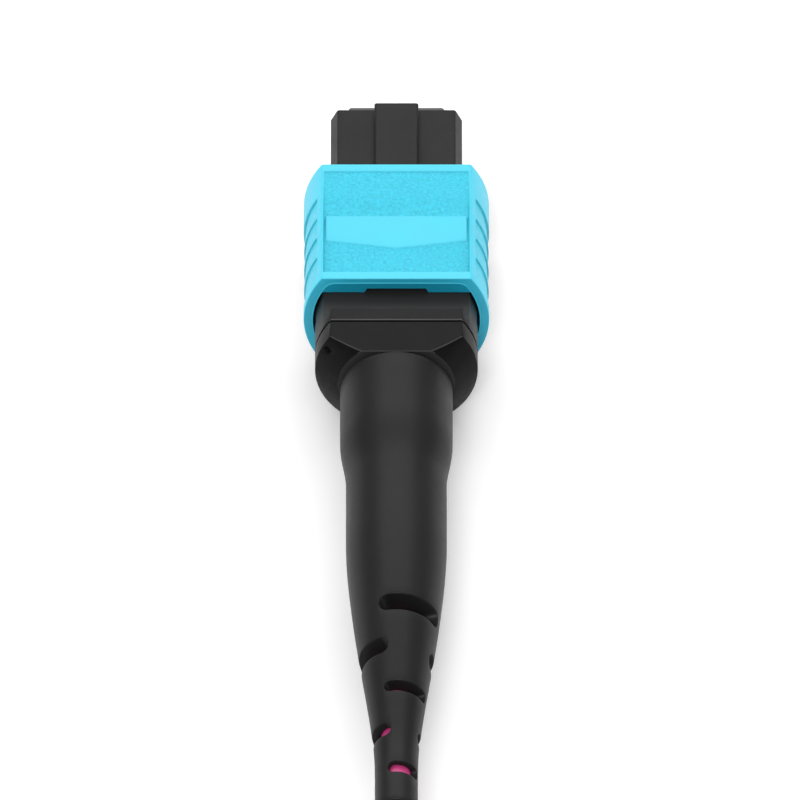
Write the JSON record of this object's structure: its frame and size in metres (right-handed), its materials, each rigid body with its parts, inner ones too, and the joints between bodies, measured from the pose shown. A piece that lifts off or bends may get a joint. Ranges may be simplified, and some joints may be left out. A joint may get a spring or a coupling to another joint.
{
  "type": "mpo fibre connector",
  "caption": "Flat multi-fibre plug: sprung rectangular ferrule in a keyed black housing, sliding aqua coupler, slotted strain-relief boot and round cable in a tied hank.",
  "frame": {"origin": "centre of the ferrule's end face", "axes": "+Y is the mating direction, out of the ferrule's end face, +Z is the key side, and the cable leaves towards -Y"},
  "size_m": [0.018, 0.125, 0.0112],
  "materials": {
    "ferrule_moulding": "fine-grained filled polymer, polished end face",
    "ferrule_rubber": "soft black rubber",
    "clamp_steel": "satin stainless steel",
    "spring_steel": "drawn spring wire",
    "housing_black": "black moulded polymer, satin",
    "coupler_aqua": "aqua moulded polymer, satin rim and grained finger panels",
    "rear_body_black": "black moulded polymer, satin",
    "aramid": "yellow aramid yarn",
    "crimp_metal": "turned and crimped aluminium",
    "boot_rubber": "black thermoplastic rubber, dull satin",
    "jacket_violet": "heather violet cable jacket, smooth",
    "tie_strap": "black woven hook-and-loop strap",
    "fibre_blue": "blue coated glass fibre, bare glass in the ferrule",
    "fibre_orange": "orange coated glass fibre, bare glass in the ferrule",
    "fibre_green": "green coated glass fibre, bare glass in the ferrule",
    "fibre_brown": "brown coated glass fibre, bare glass in the ferrule",
    "fibre_slate": "slate coated glass fibre, bare glass in the ferrule",
    "fibre_white": "white coated glass fibre, bare glass in the ferrule",
    "fibre_red": "red coated glass fibre, bare glass in the ferrule",
    "fibre_black": "black coated glass fibre, bare glass in the ferrule",
    "fibre_yellow": "yellow coated glass fibre, bare glass in the ferrule",
    "fibre_violet": "violet coated glass fibre, bare glass in the ferrule",
    "fibre_rose": "rose coated glass fibre, bare glass in the ferrule",
    "fibre_aqua": "aqua coated glass fibre, bare glass in the ferrule"
  },
  "bodies": {
    "housing": {"inner_housing": "housing_black", "spring_push": "rear_body_black", "crimp_ring": "crimp_metal", "aramid_yarn": "aramid", "boot": "boot_rubber", "cable_jacket": "jacket_violet", "cable_free": "jacket_violet", "cable_hank": "jacket_violet", "cable_tie": "tie_strap", "main_spring": "spring_steel", "coupler_spring_left": "spring_steel", "coupler_spring_right": "spring_steel"},
    "coupler": {"coupler": "coupler_aqua"},
    "ferrule": {"ferrule": "ferrule_moulding", "ferrule_boot": "ferrule_rubber", "pin_clamp": "clamp_steel", "fibre_01": "fibre_blue", "fibre_02": "fibre_orange", "fibre_03": "fibre_green", "fibre_04": "fibre_brown", "fibre_05": "fibre_slate", "fibre_06": "fibre_white", "fibre_07": "fibre_red", "fibre_08": "fibre_black", "fibre_09": "fibre_yellow", "fibre_10": "fibre_violet", "fibre_11": "fibre_rose", "fibre_12": "fibre_aqua"}
  },
  "joints": [
    {"name": "coupler_slide", "type": "slide", "parent": "housing", "child": "coupler", "axis": [0, -1, 0], "range_m": [0, 0.0018], "stiffness_N_per_m": 1200, "springref_m": -0.001, "deforming": ["coupler_spring_left", "coupler_spring_right"]},
    {"name": "ferrule_float", "type": "slide", "parent": "housing", "child": "ferrule", "axis": [0, -1, 0], "range_m": [0, 0.0007], "stiffness_N_per_m": 2500, "springref_m": -0.003, "deforming": ["main_spring"]}
  ]
}
